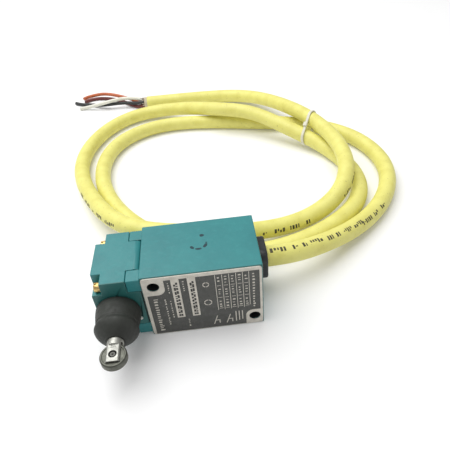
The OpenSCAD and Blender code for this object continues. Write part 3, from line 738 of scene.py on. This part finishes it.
# ---------------------------------------------------------------- materials
class Look:
    """A procedural material, built from small steps."""

    def __init__(self, name, colour, rough, metal=0.0, **sockets):
        self.material = bpy.data.materials.new(name)
        self.material.use_nodes = True
        self.tree = self.material.node_tree
        self.shader = self.tree.nodes["Principled BSDF"]
        self.shader.inputs["Base Color"].default_value = (*colour, 1)
        self.shader.inputs["Roughness"].default_value = rough
        self.shader.inputs["Metallic"].default_value = metal
        for key, value in sockets.items():
            self.shader.inputs[key.replace("_", " ")].default_value = value
        self.colour, self.rough = (*colour, 1), rough
        self.colour_out = self.rough_out = self.normal_out = None
        self.coords = self.add("ShaderNodeTexCoord").outputs["Object"]

    def add(self, kind, **values):
        node = self.tree.nodes.new(kind)
        for key, value in values.items():
            setattr(node, key, value)
        return node

    def link(self, out, socket):
        self.tree.links.new(out, socket)

    def noise(self, per_mm, detail=3.0, rough=0.55, stretch=None):
        coords = self.coords
        if stretch:
            mapping = self.add("ShaderNodeMapping")
            mapping.inputs["Scale"].default_value = stretch
            self.link(coords, mapping.inputs["Vector"])
            coords = mapping.outputs["Vector"]
        node = self.add("ShaderNodeTexNoise")
        node.inputs["Scale"].default_value = per_mm / MM
        node.inputs["Detail"].default_value = detail
        node.inputs["Roughness"].default_value = rough
        self.link(coords, node.inputs["Vector"])
        return node.outputs["Fac"]

    def band(self, value, low, high, out_low=0.0, out_high=1.0):
        node = self.add("ShaderNodeMapRange")
        for key, number in (("From Min", low), ("From Max", high), ("To Min", out_low), ("To Max", out_high)):
            node.inputs[key].default_value = number
        self.link(value, node.inputs["Value"])
        return node.outputs["Result"]

    def times(self, a, b):
        node = self.add("ShaderNodeMath", operation="MULTIPLY")
        self.link(a, node.inputs[0])
        if isinstance(b, float):
            node.inputs[1].default_value = b
        else:
            self.link(b, node.inputs[1])
        return node.outputs["Value"]

    def tint(self, mask, colour):
        """Mixes a colour in where the mask is high."""
        node = self.add("ShaderNodeMix", data_type="RGBA")
        self.link(mask, node.inputs["Factor"])
        if self.colour_out is None:
            node.inputs["A"].default_value = self.colour
        else:
            self.link(self.colour_out, node.inputs["A"])
        node.inputs["B"].default_value = (*colour, 1)
        self.colour_out = node.outputs["Result"]
        self.link(self.colour_out, self.shader.inputs["Base Color"])
        return self

    def gloss(self, mask, rough):
        """Moves the roughness towards a value where the mask is high."""
        node = self.add("ShaderNodeMix", data_type="FLOAT")
        self.link(mask, node.inputs["Factor"])
        if self.rough_out is None:
            node.inputs["A"].default_value = self.rough
        else:
            self.link(self.rough_out, node.inputs["A"])
        node.inputs["B"].default_value = rough
        self.rough_out = node.outputs["Result"]
        self.link(self.rough_out, self.shader.inputs["Roughness"])
        return self

    def relief(self, height, depth_mm, strength=1.0):
        node = self.add("ShaderNodeBump")
        node.inputs["Strength"].default_value = strength
        node.inputs["Distance"].default_value = depth_mm * MM
        self.link(height, node.inputs["Height"])
        if self.normal_out is not None:
            self.link(self.normal_out, node.inputs["Normal"])
        self.normal_out = node.outputs["Normal"]
        self.link(self.normal_out, self.shader.inputs["Normal"])
        return self

    def edges(self, radius_mm, low=0.02, high=0.2):
        """A mask that is high along sharp edges."""
        bevel = self.add("ShaderNodeBevel", samples=6)
        bevel.inputs["Radius"].default_value = radius_mm * MM
        geometry = self.add("ShaderNodeNewGeometry")
        dot = self.add("ShaderNodeVectorMath", operation="DOT_PRODUCT")
        self.link(bevel.outputs["Normal"], dot.inputs[0])
        self.link(geometry.outputs["True Normal"], dot.inputs[1])
        return self.band(dot.outputs["Value"], 1 - low, 1 - high)

    def near_axis(self, centre, along, radius_mm):
        """A mask that is high within a radius of an axis; along is the axis's number."""
        mapping = self.add("ShaderNodeMapping", vector_type="POINT")
        mapping.inputs["Location"].default_value = [0 if k == along else -centre[k] for k in range(3)]
        mapping.inputs["Scale"].default_value = [0 if k == along else 1 for k in range(3)]
        self.link(self.coords, mapping.inputs["Vector"])
        away = self.add("ShaderNodeVectorMath", operation="LENGTH")
        self.link(mapping.outputs["Vector"], away.inputs[0])
        return self.band(away.outputs["Value"], radius_mm * MM, (radius_mm - 0.06) * MM)

    def in_front_of(self, y, soft_mm):
        """A mask that is high where the surface lies in front of y."""
        split = self.add("ShaderNodeSeparateXYZ")
        self.link(self.coords, split.inputs["Vector"])
        return self.band(split.outputs["Y"], y, y - soft_mm * MM)

    def rings(self, centre, per_mm):
        """Fine turning rings round the upright axis through centre."""
        mapping = self.add("ShaderNodeMapping", vector_type="POINT")
        mapping.inputs["Location"].default_value = [-c for c in centre]
        self.link(self.coords, mapping.inputs["Vector"])
        wave = self.add("ShaderNodeTexWave", wave_type="RINGS", rings_direction="Z")
        wave.inputs["Scale"].default_value = per_mm / MM / 3.14
        wave.inputs["Distortion"].default_value = 0.4
        wave.inputs["Detail"].default_value = 1.0
        self.link(mapping.outputs["Vector"], wave.inputs["Vector"])
        return wave.outputs["Fac"]


MOUNT_HOLES = ((5.6, 0, 34.5), (51.8, 0, 6.0))
MOUNT_R = 2.75
# Painted shade colours: a darker teal for the front faces, and near-black for inside the mounting holes
FRONT_SHADE, HOLE_SHADE = (0.016, 0.095, 0.08), (0.004, 0.005, 0.005)


def paint_look(name, colour, shade, light, bare, front_shade_y):
    """Stove paint over a die casting: slight mottling, orange peel and thin bare spots on the edges, with
    painted shade on the front faces and inside the mounting holes.
    """
    look = Look(name, colour, 0.42, Coat_Weight=0.15, Coat_Roughness=0.25)
    look.tint(look.band(look.noise(0.05, 4), 0.35, 0.7), shade)
    look.tint(look.times(look.band(look.noise(0.35, 5), 0.52, 0.75), 0.5), light)
    chips = look.times(look.edges(0.5), look.band(look.noise(0.9, 4), 0.5, 0.62))
    look.tint(chips, bare)
    look.gloss(look.band(look.noise(0.6, 4), 0.35, 0.7), 0.55)
    look.relief(look.noise(1.4, 2), 0.03, 0.35)
    look.relief(look.noise(0.18, 2), 0.12, 0.2)
    # Painted shade: faces in front of the given y are darkened towards a darker teal
    look.tint(look.times(look.in_front_of(at(0, front_shade_y, 0)[1], 0.5), 0.7), FRONT_SHADE)
    # Painted shade: near-black inside each mounting hole, where the deep bore lies in shade
    for hole in MOUNT_HOLES:
        inside = look.near_axis(at(*hole), 1, MOUNT_R + 0.12)
        look.tint(inside, HOLE_SHADE)
        look.gloss(inside, 0.9)
    return look.material


def metal_look(name, colour, shade, rough, grain=(1, 1, 1), rings=None, sink_shade=None):
    """Machined metal: drawn or turned grain, dull patches, bright edges and, where asked, painted shade round
    an axis.
    """
    look = Look(name, colour, rough, metal=1.0)
    look.tint(look.band(look.noise(0.25, 4), 0.4, 0.7), shade)
    look.gloss(look.band(look.noise(0.8, 3), 0.35, 0.7), min(rough + 0.18, 0.9))
    look.tint(look.times(look.edges(0.25), 0.6), tuple(min(1, c * 1.35) for c in colour))
    if rings:
        look.relief(look.rings(*rings), 0.01, 0.35)
    look.relief(look.noise(1.2, 3, stretch=grain), 0.02, 0.3)
    # Painted shade: near-black within a radius of an axis, for a countersink that lies in shade
    if sink_shade:
        look.tint(look.near_axis(*sink_shade), (0.03, 0.03, 0.028))
    return look.material


def plain_look(name, colour, shade, rough, grain=2.0, depth=0.03, specks=None):
    """Moulded plastic or rubber with a fine skin, uneven gloss and a little dust."""
    look = Look(name, colour, rough)
    look.tint(look.band(look.noise(0.12, 4), 0.4, 0.75), shade)
    look.gloss(look.band(look.noise(0.5, 3), 0.4, 0.7), min(rough + 0.15, 0.95))
    look.relief(look.noise(grain, 3), depth, 0.35)
    if specks:
        look.tint(look.times(look.band(look.noise(0.8, 3), 0.66, 0.72), 0.55), specks)
    return look.material


def label_look(name, colour, shade, specks, rough, metal):
    """Anodised or printed label sheet, mottled and speckled by handling."""
    look = Look(name, colour, rough, metal=metal)
    look.tint(look.band(look.noise(0.3, 4), 0.38, 0.68), shade)
    look.tint(look.times(look.band(look.noise(1.3, 3), 0.6, 0.72), 0.6), specks)
    look.gloss(look.band(look.noise(0.7, 3), 0.4, 0.7), rough + 0.12)
    look.relief(look.noise(1.5, 3), 0.01, 0.3)
    return look.material


def dress(material, *names):
    """Gives CAD nodes their material."""
    for name in names:
        mesh = nodes[name].data
        mesh.materials.clear()
        mesh.materials.append(material)


def wear(obj, material):
    """Gives one piece its material."""
    obj.data.materials.clear()
    obj.data.materials.append(material)


TEAL = ((0.018, 0.21, 0.218), (0.014, 0.18, 0.192), (0.026, 0.245, 0.245), (0.3, 0.33, 0.32))
dress(paint_look("teal_paint", *TEAL, front_shade_y=0.5), "body_housing")
dress(paint_look("teal_head", *TEAL, front_shade_y=1.3), "head_housing")
steel = metal_look("steel", (0.34, 0.34, 0.31), (0.26, 0.26, 0.235), 0.42, grain=(1, 8, 8))
dress(steel, "cam", "roller_pin", "transfer_pin")
pin_axis = at(PLUNGER_X, ROLLER_Y, MID_Z)
# Radius of the painted shade in the countersink round the roller pin's end
PIN_SINK_SHADE_R = 1.86
fork_steel = metal_look("fork_steel", (0.42, 0.42, 0.385), (0.34, 0.34, 0.31), 0.42, grain=(8, 1, 8),
                        sink_shade=(pin_axis, 2, PIN_SINK_SHADE_R))
dress(fork_steel, "plunger")
# Painted glint: the lock pin's polished end gets a near-white colour that stands in for its bright shine
dress(plain_look("lock_pin_painted_glint", (0.85, 0.85, 0.8), (0.75, 0.75, 0.7), 0.4), "lock_pin")
wear(pin_ends, metal_look("pin_steel", (0.11, 0.11, 0.1), (0.07, 0.07, 0.065), 0.35))
roller_centre = (Vector(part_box("roller")[0]) + Vector(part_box("roller")[1])) / 2
dress(metal_look("roller_steel", (0.15, 0.153, 0.13), (0.11, 0.113, 0.096), 0.45,
                 rings=(roller_centre, 2.5)), "roller")
spring_look = metal_look("spring_steel", (0.5, 0.5, 0.5), (0.35, 0.35, 0.35), 0.35)
dress(spring_look, "return_spring", "contact_spring")
wear(return_coil, spring_look)
wear(contact_coil, spring_look)
brass = metal_look("yellow_brass", (0.72, 0.52, 0.22), (0.5, 0.34, 0.13), 0.35)
dress(brass, "head_screws", "terminal_screws")
dress(metal_look("bushing_bronze", (0.5, 0.34, 0.16), (0.38, 0.25, 0.12), 0.45),
      "plunger_bushing", "pin_guide")
dress(metal_look("contact_copper", (0.72, 0.38, 0.22), (0.5, 0.28, 0.17), 0.3),
      "moving_bridge", "nc_contacts", "no_contacts")
rubber = plain_look("black_rubber", (0.02, 0.022, 0.018), (0.032, 0.036, 0.03), 0.6)
dress(rubber, "head_gasket", "shaft_seal", "pin_seal", "cord_grommet", "boot")
wear(boot, rubber)
dress(plain_look("gland_plastic", (0.015, 0.017, 0.019), (0.03, 0.03, 0.032), 0.45), "gland")
dress(plain_look("phenolic", (0.09, 0.05, 0.03), (0.06, 0.035, 0.02), 0.5), "switch_case", "switch_cover")
dress(plain_look("carriage_plastic", (0.05, 0.05, 0.055), (0.035, 0.035, 0.04), 0.45), "contact_carriage")
wire_looks = {
    "black": plain_look("wire_black", (0.018, 0.02, 0.02), (0.035, 0.037, 0.035), 0.4),
    "white": plain_look("wire_white", (0.78, 0.77, 0.68), (0.68, 0.67, 0.58), 0.4),
    "orange": plain_look("wire_orange", (0.55, 0.14, 0.045), (0.42, 0.1, 0.04), 0.4),
    "red": plain_look("wire_red", (0.16, 0.03, 0.025), (0.1, 0.02, 0.018), 0.4),
}
for colour, look in wire_looks.items():
    dress(look, f"lead_{colour}", f"wire_{colour}")
    wear(wires[colour], look)
cord_look = plain_look("cord_yellow", (0.79, 0.75, 0.215), (0.7, 0.65, 0.16), 0.45, grain=1.2, depth=0.04,
                       specks=(0.27, 0.24, 0.11))
dress(cord_look, "cord_jacket")
wear(cord_jacket, cord_look)
paper = plain_look("cord_paper", (0.6, 0.55, 0.44), (0.45, 0.36, 0.26), 0.85)
dress(paper, "cord_filler")
wear(filler_paper, paper)
wear(filler_jute, plain_look("cord_jute", (0.22, 0.12, 0.06), (0.12, 0.06, 0.03), 0.9))
wear(cord_print, plain_look("print_ink", (0.05, 0.047, 0.025), (0.11, 0.1, 0.045), 0.6))
tie_look = plain_look("tie_plastic", (0.72, 0.7, 0.58), (0.64, 0.62, 0.5), 0.4)
dress(tie_look, "cable_tie")
wear(cable_tie, tie_look)
label_metal = label_look("label_sheet", (0.68, 0.645, 0.57), (0.56, 0.53, 0.465), (0.26, 0.245, 0.21),
                         0.5, 0.1)
dress(label_metal, "nameplate")
wear(label_panels, label_metal)
wear(label_marks, label_metal)
INK_SPECKS = (0.2, 0.2, 0.18)
label_ink = label_look("label_ink", (0.058, 0.06, 0.054), (0.078, 0.08, 0.074), INK_SPECKS, 0.5, 0.0)
wear(label_field, label_ink)
wear(label_bars, label_look("panel_ink", (0.02, 0.02, 0.018), (0.04, 0.04, 0.036), INK_SPECKS, 0.5, 0.0))
wear(scuffs, plain_look("dark_scuff", (0.004, 0.03, 0.042), (0.006, 0.042, 0.055), 0.6))
wear(fork_mark, plain_look("staking_shade", (0.05, 0.05, 0.045), (0.08, 0.08, 0.07), 0.6))
floor_look = Look("floor_paper", (0.83, 0.83, 0.83), 0.8, Emission_Color=(1, 1, 1, 1), Emission_Strength=0.1)
floor_look.tint(floor_look.noise(0.002, 2), (0.82, 0.82, 0.82))
wear(floor, floor_look.material)
